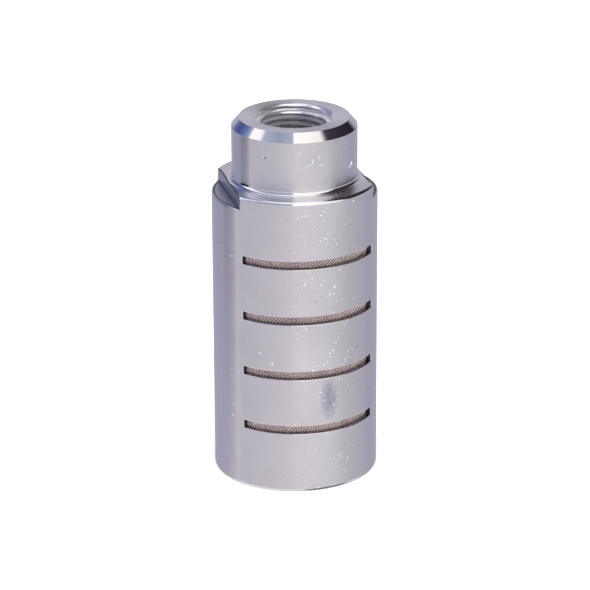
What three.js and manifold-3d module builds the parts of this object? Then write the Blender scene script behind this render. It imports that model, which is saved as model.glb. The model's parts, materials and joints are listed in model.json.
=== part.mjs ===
// Pneumatic exhaust muffler: a slotted aluminium housing around a wire-mesh silencing stack.
// Millimetres, +Z up. The origin is the centre of the base. Compressed air enters at the threaded
// neck on top. The exhaust slots face -Y and +Y, and the two wrench flats face -X and +X.
import * as THREE from "three";
import { mergeVertices } from "three/addons/utils/BufferGeometryUtils.js";
import Module from "manifold-3d";

const wasm = await Module();
wasm.setup();

// Housing, turned from 38.1 mm round bar.
const HEIGHT = 85;
const BODY_RADIUS = 19.05;
const BODY_WALL = 1.15;
const BASE_CHAMFER = 0.5;
const SHOULDER_Z = 70.6;
const SHOULDER_ROUND = 0.9;
const NECK_RADIUS = 14.4;
const NECK_FOOT_FILLET = 1;
const NECK_CHAMFER_WIDTH = 1.7;
const NECK_CHAMFER_HEIGHT = 2;
const CEILING_Z = 62.4;
const CAVITY_RADIUS = BODY_RADIUS - BODY_WALL;

// Exhaust slots: the same set of four on the front and on the back.
const SLOT_COUNT = 4;
const SLOT_PITCH = 13.4;
const SLOT_FIRST_Z = 15.4;
const SLOT_HEIGHT = 1.95;
const SLOT_ARC = THREE.MathUtils.degToRad(105.8);
const SLOT_SIDES = [-Math.PI / 2, Math.PI / 2];

// Wrench flats, milled down from the shoulder on both sides.
const ACROSS_FLATS = 31;
const FLAT_HEIGHT = 3.2;

// Tapered pipe thread in the neck: 18 threads per inch, taper 1 in 16 on the diameter.
const THREAD_PITCH = 25.4 / 18;
const THREAD_MAJOR_RADIUS = 8.53;
const THREAD_DEPTH = 1.03;
const THREAD_ROOT_FLAT = 0.1;
const THREAD_TURNS = 9;
const THREAD_TAPER = 1 / 32;
const THREAD_HALF_ANGLE = Math.PI / 6;
const COUNTERSINK_RADIUS = 9.2;
const PASSAGE_RADIUS = 7;

// Silencing stack, from the base upwards. Neighbours in the stack are held apart by STACK_GAP.
const STACK_GAP = 0.1;
const PLUG_HEIGHT = 6;
const PLUG_RADIUS = CAVITY_RADIUS - 0.3;
const PLUG_CHAMFER = 0.4;
const SPANNER_HOLE_RADIUS = 1.6;
const SPANNER_HOLE_DEPTH = 3.5;
const SPANNER_HOLE_OFFSET = 10;
const SPRING_INNER_RADIUS = 12.2;
const SPRING_OUTER_RADIUS = 16.2;
const SPRING_THICKNESS = 0.4;
const SPRING_WAVE = 0.35;
const SPRING_WAVES = 3;
const PLATE_THICKNESS = 1;
const PLATE_RADIUS = CAVITY_RADIUS - 0.3;
const CAP_HEIGHT = 2.2;
const CAP_FLOOR = 1;
const CAP_RADIUS = 10.3;
const TUBE_RADIUS = 9.5;
const TUBE_WALL = 0.9;
const TUBE_FLANGE = 0.8;
const TUBE_HOLE_RADIUS = 1.25;
const TUBE_HOLE_ROWS = 8;
const TUBE_HOLES_PER_ROW = 6;
const GASKET_THICKNESS = 1;
const GASKET_INNER_RADIUS = 8.2;
const CORE_SCREEN_THICKNESS = 0.4;
const OUTER_SCREEN_THICKNESS = 0.38;
const RING_CLEARANCE = 0.1;
const RINGS_PER_ZONE = 2;
const BAFFLE_THICKNESS = 0.8;

// Heights that follow from the stack.
const SPRING_Z = PLUG_HEIGHT + STACK_GAP;
const PLATE_Z = SPRING_Z + SPRING_THICKNESS + 2 * SPRING_WAVE + STACK_GAP;
const PLATE_TOP = PLATE_Z + PLATE_THICKNESS;
const CAP_Z = PLATE_TOP + STACK_GAP;
const GASKET_Z = CEILING_Z - STACK_GAP - GASKET_THICKNESS;
const FLANGE_Z = GASKET_Z - STACK_GAP - TUBE_FLANGE;
const SCREEN_RADIUS = CAVITY_RADIUS - RING_CLEARANCE;
const CORE_RADIUS = TUBE_RADIUS + RING_CLEARANCE + CORE_SCREEN_THICKNESS;
const RING_INNER_RADIUS = CAP_RADIUS + RING_CLEARANCE;
const RING_OUTER_RADIUS = SCREEN_RADIUS - OUTER_SCREEN_THICKNESS - RING_CLEARANCE;

// Facets round each kind of piece.
const HOUSING_FACETS = 72;
const THREAD_FACETS = 24;
const INNER_FACETS = 32;
const HOLE_FACETS = 6;
const ARC_STEPS = 3;
const CUT_MARGIN = 1;

const ALUMINIUM = { color: 0xbdbcc6, roughness: 0.32, metalness: 1 };
const PLUG_METAL = { color: 0xaeb0b8, roughness: 0.4, metalness: 1 };
const SCREEN_METAL = { color: 0x96876f, roughness: 0.45, metalness: 1 };
const WOOL_METAL = { color: 0x8f8b84, roughness: 0.5, metalness: 1 };
const SHEET_METAL = { color: 0x9b9ea3, roughness: 0.35, metalness: 1 };
const SPRING_METAL = { color: 0x7d8086, roughness: 0.3, metalness: 1 };
const GASKET_FIBRE = { color: 0x3c5a4c, roughness: 0.9, metalness: 0 };

function solid(geometry) {
  const bare = geometry.clone();
  bare.deleteAttribute("normal");
  bare.deleteAttribute("uv");
  const merged = mergeVertices(bare, 1e-5);
  return new wasm.Manifold(new wasm.Mesh({
    numProp: 3,
    vertProperties: new Float32Array(merged.attributes.position.array),
    triVerts: new Uint32Array(merged.index.array),
  }));
}

function geometryOf(body) {
  const mesh = body.getMesh();
  const geometry = new THREE.BufferGeometry();
  geometry.setAttribute("position", new THREE.BufferAttribute(new Float32Array(mesh.vertProperties), 3));
  geometry.setIndex(new THREE.BufferAttribute(new Uint32Array(mesh.triVerts), 1));
  geometry.computeVertexNormals();
  return geometry;
}

// Turns a profile of [radius, height] points about Z. The profile runs anticlockwise, with the
// radius to the right and the height up, and is closed here where it doesn't end on the axis.
function turned(profile, facets) {
  const points = profile.map(([radius, z]) => new THREE.Vector2(radius, z));
  if (profile[0][0] > 0) {
    points.push(points[0].clone());
  }
  return new THREE.LatheGeometry(points, facets).rotateX(Math.PI / 2);
}

// A plain ring or, with no inner radius, a disc.
function ring(innerRadius, outerRadius, bottom, top, facets = INNER_FACETS) {
  const outline = [[innerRadius, bottom], [outerRadius, bottom], [outerRadius, top], [innerRadius, top]];
  return turned(outline, facets);
}

// Points on a quarter arc of a profile, from one angle to another.
function arc(centreRadius, centreZ, radius, fromDegrees, toDegrees) {
  return Array.from({ length: ARC_STEPS + 1 }, (_, step) => {
    const angle = THREE.MathUtils.degToRad(THREE.MathUtils.lerp(fromDegrees, toDegrees, step / ARC_STEPS));
    return [centreRadius + radius * Math.cos(angle), centreZ + radius * Math.sin(angle)];
  });
}

function housingBlank() {
  return solid(turned([
    [0, 0],
    [BODY_RADIUS - BASE_CHAMFER, 0],
    [BODY_RADIUS, BASE_CHAMFER],
    ...arc(BODY_RADIUS - SHOULDER_ROUND, SHOULDER_Z - SHOULDER_ROUND, SHOULDER_ROUND, 0, 90),
    ...arc(NECK_RADIUS + NECK_FOOT_FILLET, SHOULDER_Z + NECK_FOOT_FILLET, NECK_FOOT_FILLET, 270, 180),
    [NECK_RADIUS, HEIGHT - NECK_CHAMFER_HEIGHT],
    [NECK_RADIUS - NECK_CHAMFER_WIDTH, HEIGHT],
    [0, HEIGHT],
  ], HOUSING_FACETS));
}

function cavityCutter() {
  return solid(ring(0, CAVITY_RADIUS, -CUT_MARGIN, CEILING_Z, HOUSING_FACETS));
}

// The drilled passage, reamed to the thread's taper near the top and countersunk at 45 degrees.
function passageCutter() {
  const crestRadius = THREAD_MAJOR_RADIUS - THREAD_DEPTH;
  const taperDepth = (crestRadius - PASSAGE_RADIUS) / THREAD_TAPER;
  const sinkDepth = (COUNTERSINK_RADIUS - crestRadius) / (1 - THREAD_TAPER);
  return solid(turned([
    [0, CEILING_Z - CUT_MARGIN],
    [PASSAGE_RADIUS, CEILING_Z - CUT_MARGIN],
    [PASSAGE_RADIUS, HEIGHT - taperDepth],
    [COUNTERSINK_RADIUS - sinkDepth, HEIGHT - sinkDepth],
    [COUNTERSINK_RADIUS, HEIGHT],
    [COUNTERSINK_RADIUS, HEIGHT + CUT_MARGIN],
    [0, HEIGHT + CUT_MARGIN],
  ], THREAD_FACETS));
}

// The thread groove: a trapezoid wound down the tapered bore, getting shallower over its last turn.
function threadCutter() {
  const halfMouth = THREAD_ROOT_FLAT / 2 + THREAD_DEPTH * Math.tan(THREAD_HALF_ANGLE);
  const section = new THREE.Shape([
    new THREE.Vector2(-THREAD_DEPTH - CUT_MARGIN, -halfMouth),
    new THREE.Vector2(-THREAD_DEPTH, -halfMouth),
    new THREE.Vector2(0, -THREAD_ROOT_FLAT / 2),
    new THREE.Vector2(0, THREAD_ROOT_FLAT / 2),
    new THREE.Vector2(-THREAD_DEPTH, halfMouth),
    new THREE.Vector2(-THREAD_DEPTH - CUT_MARGIN, halfMouth),
  ]);
  const straight = new THREE.ExtrudeGeometry(section, {
    depth: THREAD_TURNS,
    steps: THREAD_TURNS * THREAD_FACETS,
    bevelEnabled: false,
  });
  const points = straight.attributes.position;
  for (let index = 0; index < points.count; index += 1) {
    const turn = points.getZ(index);
    const drop = (turn - 1) * THREAD_PITCH;
    const fade = Math.max(0, turn - (THREAD_TURNS - 1)) * (THREAD_DEPTH + 2 * STACK_GAP);
    const radius = THREAD_MAJOR_RADIUS - drop * THREAD_TAPER - fade + points.getX(index);
    const angle = -2 * Math.PI * turn;
    const z = HEIGHT - drop + points.getY(index);
    points.setXYZ(index, radius * Math.cos(angle), radius * Math.sin(angle), z);
  }
  return solid(straight);
}

// One slot is an annular sector that passes through the wall.
function slotCutter(facing, z) {
  const outer = BODY_RADIUS + CUT_MARGIN;
  const inner = CAVITY_RADIUS - CUT_MARGIN;
  const from = facing - SLOT_ARC / 2;
  const to = facing + SLOT_ARC / 2;
  const sector = new THREE.Shape();
  sector.absarc(0, 0, outer, from, to, false);
  sector.absarc(0, 0, inner, to, from, true);
  const slab = new THREE.ExtrudeGeometry(sector, { depth: SLOT_HEIGHT, bevelEnabled: false });
  return solid(slab.translate(0, 0, z - SLOT_HEIGHT / 2));
}

function flatCutter(side) {
  const depth = BODY_RADIUS - ACROSS_FLATS / 2 + CUT_MARGIN;
  const height = FLAT_HEIGHT + CUT_MARGIN;
  const block = new THREE.BoxGeometry(depth, 2 * BODY_RADIUS + CUT_MARGIN, height);
  const centreX = side * (ACROSS_FLATS + depth) / 2;
  return solid(block.translate(centreX, 0, SHOULDER_Z - FLAT_HEIGHT + height / 2));
}

function slotHeights() {
  return Array.from({ length: SLOT_COUNT }, (_, index) => SLOT_FIRST_Z + index * SLOT_PITCH);
}

function housing() {
  let body = housingBlank();
  body = body.subtract(cavityCutter());
  body = body.subtract(passageCutter());
  body = body.subtract(threadCutter());
  for (const facing of SLOT_SIDES) {
    for (const z of slotHeights()) {
      body = body.subtract(slotCutter(facing, z));
    }
  }
  for (const side of [-1, 1]) {
    body = body.subtract(flatCutter(side));
  }
  return geometryOf(body);
}

// The base plug screws into the cavity and has two blind holes for a pin spanner.
function endPlug() {
  let body = solid(turned([
    [0, 0],
    [PLUG_RADIUS - PLUG_CHAMFER, 0],
    [PLUG_RADIUS, PLUG_CHAMFER],
    [PLUG_RADIUS, PLUG_HEIGHT - PLUG_CHAMFER],
    [PLUG_RADIUS - PLUG_CHAMFER, PLUG_HEIGHT],
    [0, PLUG_HEIGHT],
  ], INNER_FACETS));
  const length = SPANNER_HOLE_DEPTH + CUT_MARGIN;
  for (const side of [-1, 1]) {
    const hole = new THREE.CylinderGeometry(SPANNER_HOLE_RADIUS, SPANNER_HOLE_RADIUS, length, 2 * HOLE_FACETS);
    hole.rotateX(Math.PI / 2);
    hole.translate(side * SPANNER_HOLE_OFFSET, 0, SPANNER_HOLE_DEPTH - length / 2);
    body = body.subtract(solid(hole));
  }
  return geometryOf(body);
}

// A flat ring pressed into waves, which keeps the stack tight.
function waveSpring() {
  const middle = SPRING_Z + SPRING_WAVE;
  const flat = ring(SPRING_INNER_RADIUS, SPRING_OUTER_RADIUS, middle, middle + SPRING_THICKNESS);
  const points = flat.attributes.position;
  for (let index = 0; index < points.count; index += 1) {
    const angle = Math.atan2(points.getY(index), points.getX(index));
    points.setZ(index, points.getZ(index) + SPRING_WAVE * Math.sin(SPRING_WAVES * angle));
  }
  return geometryOf(solid(flat));
}

function diffuserEndCap() {
  const socket = TUBE_RADIUS + RING_CLEARANCE;
  return turned([
    [0, CAP_Z],
    [CAP_RADIUS, CAP_Z],
    [CAP_RADIUS, CAP_Z + CAP_HEIGHT],
    [socket, CAP_Z + CAP_HEIGHT],
    [socket, CAP_Z + CAP_FLOOR],
    [0, CAP_Z + CAP_FLOOR],
  ], INNER_FACETS);
}

// A flanged tube with staggered rows of holes round it.
function diffuserTube() {
  const bottom = CAP_Z + CAP_FLOOR + STACK_GAP;
  const bore = TUBE_RADIUS - TUBE_WALL;
  let body = solid(turned([
    [bore, bottom],
    [TUBE_RADIUS, bottom],
    [TUBE_RADIUS, FLANGE_Z],
    [PLATE_RADIUS, FLANGE_Z],
    [PLATE_RADIUS, FLANGE_Z + TUBE_FLANGE],
    [bore, FLANGE_Z + TUBE_FLANGE],
  ], INNER_FACETS));
  const rowPitch = SLOT_PITCH / RINGS_PER_ZONE;
  for (let row = 0; row < TUBE_HOLE_ROWS; row += 1) {
    const z = SLOT_FIRST_Z + (row - 0.5) * rowPitch;
    for (let pair = 0; pair < TUBE_HOLES_PER_ROW / 2; pair += 1) {
      const angle = (pair + (row % 2) / 2) * (2 * Math.PI / TUBE_HOLES_PER_ROW);
      const drill = new THREE.CylinderGeometry(TUBE_HOLE_RADIUS, TUBE_HOLE_RADIUS, 3 * TUBE_RADIUS, HOLE_FACETS);
      drill.rotateZ(Math.PI / 2 + angle);
      drill.translate(0, 0, z);
      body = body.subtract(solid(drill));
    }
  }
  return geometryOf(body);
}

// The stack is divided into one zone for each slot height, with a baffle between zones.
function zones() {
  const centres = slotHeights();
  return centres.map((z, index) => {
    const first = index === 0;
    const last = index === SLOT_COUNT - 1;
    const clear = SLOT_PITCH / 2 - BAFFLE_THICKNESS / 2 - STACK_GAP;
    return {
      bottom: first ? CAP_Z : z - clear,
      top: last ? FLANGE_Z - STACK_GAP : z + clear,
    };
  });
}

const muffler = new THREE.Group();

function add(name, geometry, finish) {
  const mesh = new THREE.Mesh(geometry, new THREE.MeshStandardMaterial(finish));
  mesh.name = name;
  muffler.add(mesh);
}

add("housing", housing(), ALUMINIUM);
add("end_plug", endPlug(), PLUG_METAL);
add("wave_spring", waveSpring(), SPRING_METAL);
add("pressure_plate", ring(0, PLATE_RADIUS, PLATE_Z, PLATE_TOP), SHEET_METAL);
add("diffuser_end_cap", diffuserEndCap(), SHEET_METAL);
add("diffuser_tube", diffuserTube(), SHEET_METAL);
add("flange_gasket", ring(GASKET_INNER_RADIUS, PLATE_RADIUS, GASKET_Z, GASKET_Z + GASKET_THICKNESS), GASKET_FIBRE);

const coreBottom = CAP_Z + CAP_HEIGHT + STACK_GAP;
const stackTop = FLANGE_Z - STACK_GAP;
add("core_screen", ring(TUBE_RADIUS + RING_CLEARANCE, CORE_RADIUS, coreBottom, stackTop), SCREEN_METAL);
add("outer_screen", ring(SCREEN_RADIUS - OUTER_SCREEN_THICKNESS, SCREEN_RADIUS, CAP_Z, stackTop), SCREEN_METAL);

zones().forEach((zone, zoneIndex) => {
  const height = (zone.top - zone.bottom - STACK_GAP * (RINGS_PER_ZONE - 1)) / RINGS_PER_ZONE;
  for (let index = 0; index < RINGS_PER_ZONE; index += 1) {
    const bottom = zone.bottom + index * (height + STACK_GAP);
    const name = `packing_ring_${zoneIndex * RINGS_PER_ZONE + index + 1}`;
    add(name, ring(RING_INNER_RADIUS, RING_OUTER_RADIUS, bottom, bottom + height), WOOL_METAL);
  }
});

slotHeights().slice(1).forEach((z, index) => {
  const bottom = z - SLOT_PITCH / 2 - BAFFLE_THICKNESS / 2;
  const washer = ring(RING_INNER_RADIUS, RING_OUTER_RADIUS, bottom, bottom + BAFFLE_THICKNESS);
  add(`baffle_washer_${index + 1}`, washer, SHEET_METAL);
});

export default muffler;
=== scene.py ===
"""Studio scene of a pneumatic exhaust muffler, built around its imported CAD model.

Metres, +Z up. The origin is the centre of the base. The exhaust slots face -Y and +Y, the wrench
flats face -X and +X, and the threaded port is on top.
"""

import json
import math

import bmesh
import bpy
from mathutils import Matrix, Vector, noise


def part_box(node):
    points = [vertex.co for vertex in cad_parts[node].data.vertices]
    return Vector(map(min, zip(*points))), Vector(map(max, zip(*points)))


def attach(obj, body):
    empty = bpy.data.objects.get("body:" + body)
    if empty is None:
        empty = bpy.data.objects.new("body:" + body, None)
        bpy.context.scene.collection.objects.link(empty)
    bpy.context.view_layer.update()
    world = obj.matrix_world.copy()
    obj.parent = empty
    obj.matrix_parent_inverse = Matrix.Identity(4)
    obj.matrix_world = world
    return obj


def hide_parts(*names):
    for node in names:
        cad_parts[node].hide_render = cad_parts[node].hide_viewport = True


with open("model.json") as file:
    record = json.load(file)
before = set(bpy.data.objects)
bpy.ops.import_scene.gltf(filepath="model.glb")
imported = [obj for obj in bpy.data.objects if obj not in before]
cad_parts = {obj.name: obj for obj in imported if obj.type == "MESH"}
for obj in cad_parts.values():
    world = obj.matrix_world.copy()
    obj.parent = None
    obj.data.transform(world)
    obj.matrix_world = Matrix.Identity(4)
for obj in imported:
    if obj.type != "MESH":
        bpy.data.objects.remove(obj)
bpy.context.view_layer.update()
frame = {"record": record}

MM = 0.001
TURN = 2 * math.pi
BODY = "root"

# Places that follow from the frame.
_, housing_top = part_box("housing")
_, screen_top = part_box("outer_screen")
mount_places = {mount["name"]: mount["pos_m"] for mount in frame["record"]["mounts"]}
HEIGHT = housing_top.z
BODY_RADIUS = housing_top.y
SCREEN_RADIUS = screen_top.x
FLAT_DISTANCE = mount_places["wrench_flat_right"][0]

# Housing.
BODY_WALL = 1.15 * MM
CAVITY_RADIUS = BODY_RADIUS - BODY_WALL
CEILING_Z = 62.4 * MM
BASE_CHAMFER = 0.5 * MM
SHOULDER_Z = 70.6 * MM
SHOULDER_ROUND = 0.9 * MM
NECK_RADIUS = 14.4 * MM
NECK_FOOT_FILLET = 1.0 * MM
NECK_CHAMFER_WIDTH = 1.7 * MM
NECK_CHAMFER_HEIGHT = 2.0 * MM
FLAT_HEIGHT = 3.2 * MM
BORE_RIM = 0.25 * MM
EDGE_ROUND = 0.14 * MM
# Width of the dark strips of painted shade along the wrench flats' edges and inner corners.
BURR_SHADE_LINE = 0.36 * MM
LIP_ROUND = 0.28 * MM
# Width of the narrow rows that keep the shading on either side of an edge flat.
HOLD = 0.12 * MM

# Exhaust slots.
SLOT_COUNT = 4
SLOT_PITCH = 13.4 * MM
SLOT_FIRST_Z = 15.4 * MM
SLOT_HEIGHT = 1.95 * MM
SLOT_HALF_ARC = math.radians(52.9)
SLOT_FACINGS = (-TURN / 4, TURN / 4)
SLOT_HEIGHTS = [SLOT_FIRST_Z + index * SLOT_PITCH for index in range(SLOT_COUNT)]

# Tapered pipe thread, 18 threads per inch.
THREAD_PITCH = 25.4 / 18 * MM
THREAD_MAJOR_RADIUS = 8.53 * MM
THREAD_DEPTH = 1.05 * MM
THREAD_TAPER = 1 / 32
THREAD_LENGTH = 13.2 * MM
THREAD_FADE = 2 * MM
THREAD_PHASE = 0.35
THREAD_RUNOUT = 0.25 * MM
COUNTERSINK_RADIUS = 9.2 * MM
PASSAGE_RADIUS = 7 * MM
THREAD_TOP = HEIGHT - 0.3 * MM
THREAD_ROOT = 0.06
THREAD_CREST = 0.2
FLANK_STEPS = 5

# Woven wire cloth behind the slots.
WIRE_PITCH = 0.395 * MM
WARP_WIDTH = 0.27 * MM
WEFT_WIDTH = 0.34 * MM
WIRE_THICKNESS = 0.17 * MM
WIRE_SIDES = 6
WEAVE_MARGIN = 0.5 * MM
WEAVE_MIDDLE = SCREEN_RADIUS - 0.18 * MM
OUTER_SLEEVE_DEPTH = 0.4 * MM
CORE_SLEEVE_DEPTH = 0.05 * MM

# End plug, with a fine thread on its rim and two blind spanner holes.
PLUG_CHAMFER = 0.5 * MM
PLUG_THREAD_PITCH = 1.0 * MM
PLUG_THREAD_FADE = 0.5 * MM
PLUG_ROOT_INSET = 0.225 * MM
PLUG_CREST_OUTSET = 0.15 * MM
PLUG_THREAD_FLAT = 0.12
SPANNER_HOLE_RADIUS = 1.6 * MM
SPANNER_HOLE_BEVEL = 0.25 * MM
SPANNER_HOLE_DEPTH = 3.5 * MM
SPANNER_HOLE_TIP = 0.9 * MM
SPANNER_HOLE_OFFSET = 10 * MM

# Diffuser tube and the rings round it.
TUBE_RADIUS = 9.5 * MM
TUBE_BORE = 8.6 * MM
TUBE_FLANGE = 0.8 * MM
TUBE_HOLE_RADIUS = 1.25 * MM
TUBE_HOLE_ROWS = 8
TUBE_HOLES_PER_ROW = 6
TUBE_ROW_PITCH = SLOT_PITCH / 2
STACK_BORE = 10.4 * MM
# Radius of the middle of the packing rings, in millimetres, by which their loops are counted.
PACKING_MIDDLE = 14
GASKET_BORE = 8.2 * MM
PACKING_RINGS = 8
BAFFLE_WASHERS = 3

# Fineness of the meshes.
HOUSING_COLUMNS = 144
PLUG_COLUMNS = 144
HOLE_COLUMNS = 32
ARC_STEPS = 8
EDGE_STEPS = 3
TILE_RINGS = 3

# Depth of the finest marks in a surface, and the turn that lays a highlight across tool rings.
MARK_DEPTH = 0.02 * MM
ACROSS_RINGS = 0.25

# Marks on the neck in the photo, as places in millimetres and sizes, and the rubbed patch near the
# lowest slot, as x and z.
# The dents get painted white glints, and the pit is painted dark as shade.
GLINTING_DENTS = [((10.9, -9.4, 75.7), 0.5), ((10.4, -10.0, 75.2), 0.3)]
DARK_PIT = ((-9.5, -10.8, 79.1), 0.3)
PATCH_PLACE = (3.2, 22.6)
PATCH_REACH = (2.1, 5.0)

# Finish zones of the housing, in the order of its materials.
# The dark machined zone and the slot floors are painted shade.
TURNED, POLISHED, MILLED, MACHINED_SHADE, THREADED, SLOT_FLOOR = range(6)

# Finish zones of the end plug, in the order of its materials.
# The hole walls take the dark machined material: painted shade.
FACED, BRIGHT, HOLE_WALL = range(3)

# Camera, fitted to the photograph's viewing angle. Azimuth 0 looks along +Y.
CAMERA_AZIMUTH = math.radians(-14.1)
CAMERA_ELEVATION = math.radians(21.01)
CAMERA_ROLL = -0.004
CAMERA_DISTANCE = 685.8 * MM
CAMERA_TARGET_Z = 41.38 * MM
CAMERA_LENS = 180.2
SENSOR_WIDTH = 36

FLOOR_HALF_WIDTH = 8
FLOOR_DROP = 0.02 * MM
SOFTBOX_PLACE = (0.0, -0.3, 1.6)
SOFTBOX_WIDTH = 1.6
SOFTBOX_POWER = 38


# ---------------------------------------------------------------- mesh helpers

def object_from(name, mesh):
    piece = bpy.data.objects.new(name, mesh)
    bpy.context.scene.collection.objects.link(piece)
    return piece


def finished_mesh(name, points, faces, zones=None, sharp_degrees=35, merge=1e-7):
    """A mesh with doubled points merged, faces turned outwards and edges sharp where they bend."""
    mesh = bpy.data.meshes.new(name)
    mesh.from_pydata(points, [], faces)
    if zones:
        mesh.polygons.foreach_set("material_index", zones)
    work = bmesh.new()
    work.from_mesh(mesh)
    bmesh.ops.remove_doubles(work, verts=work.verts, dist=merge)
    bmesh.ops.dissolve_degenerate(work, edges=work.edges, dist=merge)
    bmesh.ops.recalc_face_normals(work, faces=work.faces)
    for face in work.faces:
        face.smooth = True
    work.to_mesh(mesh)
    work.free()
    mesh.set_sharp_from_angle(angle=math.radians(sharp_degrees))
    return mesh


def on_circle(radius, angle, z):
    return (radius * math.cos(angle), radius * math.sin(angle), z)


def arc(centre_radius, centre_z, radius, from_degrees, to_degrees, steps=ARC_STEPS):
    """Points of a profile on an arc, as (radius, z)."""
    points = []
    for step in range(steps + 1):
        angle = math.radians(from_degrees + (to_degrees - from_degrees) * step / steps)
        points.append((centre_radius + radius * math.cos(angle), centre_z + radius * math.sin(angle)))
    return points


def grid_faces(start, columns, rows, closed=False):
    """Faces of a ring of columns stored one after the other. closed joins the last row to the first."""
    faces = []
    for column in range(columns):
        here = start + column * rows
        there = start + (column + 1) % columns * rows
        for row in range(rows if closed else rows - 1):
            after = (row + 1) % rows
            faces.append((here + row, there + row, there + after, here + after))
    return faces


def ring_faces(start, rings, size):
    """Faces between closed rings of points stored one after the other."""
    faces = []
    for ring in range(rings - 1):
        here = start + ring * size
        for index in range(size):
            other = (index + 1) % size
            faces.append((here + index, here + other, here + size + other, here + size + index))
    return faces


def turned_mesh(name, outline, columns=96, shape=None):
    """Turns an outline of (radius, z) points about Z.

    The outline is closed, or open where it starts and ends on the axis. shape(radius, angle, z)
    may move each point and returns its radius and z.
    """
    points = []
    for column in range(columns):
        angle = TURN * column / columns
        for radius, z in outline:
            if shape:
                radius, z = shape(radius, angle, z)
            points.append(on_circle(radius, angle, z))
    faces = grid_faces(0, columns, len(outline), closed=outline[0][0] > 0)
    return finished_mesh(name, points, faces)


def flat_ring_mesh(name, node, inner, round_radius):
    """A flat ring or disc with rounded edges, as large as the node that it stands for."""
    low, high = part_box(node)
    return turned_mesh(name, rounded_ring(inner, high.x, low.z, high.z, round_radius))


def rounded_ring(inner, outer, bottom, top, round_radius, steps=4):
    """The outline of a flat ring with rounded edges. An inner radius of 0 makes a disc."""
    outline = []
    if inner > 0:
        outline += arc(inner + round_radius, bottom + round_radius, round_radius, 180, 270, steps)
    else:
        outline.append((0, bottom))
    outline += arc(outer - round_radius, bottom + round_radius, round_radius, 270, 360, steps)
    outline += arc(outer - round_radius, top - round_radius, round_radius, 0, 90, steps)
    if inner > 0:
        outline += arc(inner + round_radius, top - round_radius, round_radius, 90, 180, steps)
    else:
        outline.append((0, top))
    return outline


def thread_fractions(root, crest):
    """Rows over one pitch, as (fraction of the pitch, height of the tooth from 0 at the root to 1)."""
    flank = (1 - root - crest) / 2
    rows = [(0, 0), (root, 0)]
    for step in range(1, FLANK_STEPS + 1):
        rows.append((root + flank * step / FLANK_STEPS, step / FLANK_STEPS))
    rows.append((root + flank + crest, 1))
    for step in range(1, FLANK_STEPS):
        rows.append((root + flank + crest + flank * step / FLANK_STEPS, 1 - step / FLANK_STEPS))
    return rows


# ---------------------------------------------------------------- housing

def shoulder_profile():
    """Outer profile over the rounded shoulder, from the wall to the ledge, before the flats are milled."""
    return arc(BODY_RADIUS - SHOULDER_ROUND, SHOULDER_Z - SHOULDER_ROUND, SHOULDER_ROUND, 0, 90)


def housing_angles():
    """Column angles: an even spread, plus columns exactly at slot ends and along the flats' corners."""
    special = []
    for facing in SLOT_FACINGS:
        for side in (-1, 1):
            end = facing + side * SLOT_HALF_ARC
            special += [end, end + side * EDGE_ROUND / BODY_RADIUS]
    for facing in (0, TURN / 2):
        for side in (-1, 1):
            for radius, _ in shoulder_profile():
                special.append(facing + side * math.acos(FLAT_DISTANCE / radius))
    special = [angle % TURN for angle in special]
    clearance = TURN / HOUSING_COLUMNS / 4
    even = []
    for column in range(HOUSING_COLUMNS):
        angle = TURN * column / HOUSING_COLUMNS
        gaps = [abs((angle - other + TURN / 2) % TURN - TURN / 2) for other in special]
        if column == 0 or min(gaps) > clearance:
            even.append(angle)
    angles = []
    for angle in sorted(even + special):
        if not angles or angle - angles[-1] > 1e-6:
            angles.append(angle)
    return angles


def in_slot(angle):
    """Whether a column lies on a slot, its end columns included."""
    for facing in SLOT_FACINGS:
        offset = (angle - facing + TURN / 2) % TURN - TURN / 2
        if abs(offset) < SLOT_HALF_ARC + 1e-6:
            return True
    return False


def flat_radius(angle):
    """Distance from the axis to the wrench flats' planes in this direction."""
    return FLAT_DISTANCE / max(abs(math.cos(angle)), 1e-6)


def edge_rows(z, side, broken):
    """Rows of a rounded slot edge, from the wall into the slot. side is +1 for an upper edge."""
    rows = []
    for step in range(EDGE_STEPS + 1):
        angle = math.radians(90 * step / EDGE_STEPS)
        inset = EDGE_ROUND * (1 - math.cos(angle)) if broken else 0
        rows.append((BODY_RADIUS - inset, z + side * EDGE_ROUND * (1 - math.sin(angle))))
    return rows


def base_rows():
    """Rows from the bore's broken edge across the base and over its chamfer."""
    return [
        (CAVITY_RADIUS, BORE_RIM, POLISHED),
        (CAVITY_RADIUS + BORE_RIM, 0, TURNED),
        (BODY_RADIUS - BASE_CHAMFER, 0, POLISHED),
        (BODY_RADIUS, BASE_CHAMFER, TURNED),
        (BODY_RADIUS, BASE_CHAMFER + HOLD, TURNED),
    ]


def slot_rows(angle):
    """Rows past all slots, and the indices of the rows at which each slot's opening starts."""
    broken = in_slot(angle)
    edge_zone = POLISHED if broken else TURNED
    rows = []
    openings = []
    for z in SLOT_HEIGHTS:
        low = edge_rows(z - SLOT_HEIGHT / 2, -1, broken)
        high = edge_rows(z + SLOT_HEIGHT / 2, 1, broken)
        rows.append((BODY_RADIUS, low[0][1] - HOLD, TURNED))
        rows += [(radius, height, edge_zone) for radius, height in low]
        openings.append(len(rows) - 1)
        rows += [(radius, height, edge_zone) for radius, height in reversed(high)]
        rows.append((BODY_RADIUS, high[0][1] + HOLD, TURNED))
    return rows, openings


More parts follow.
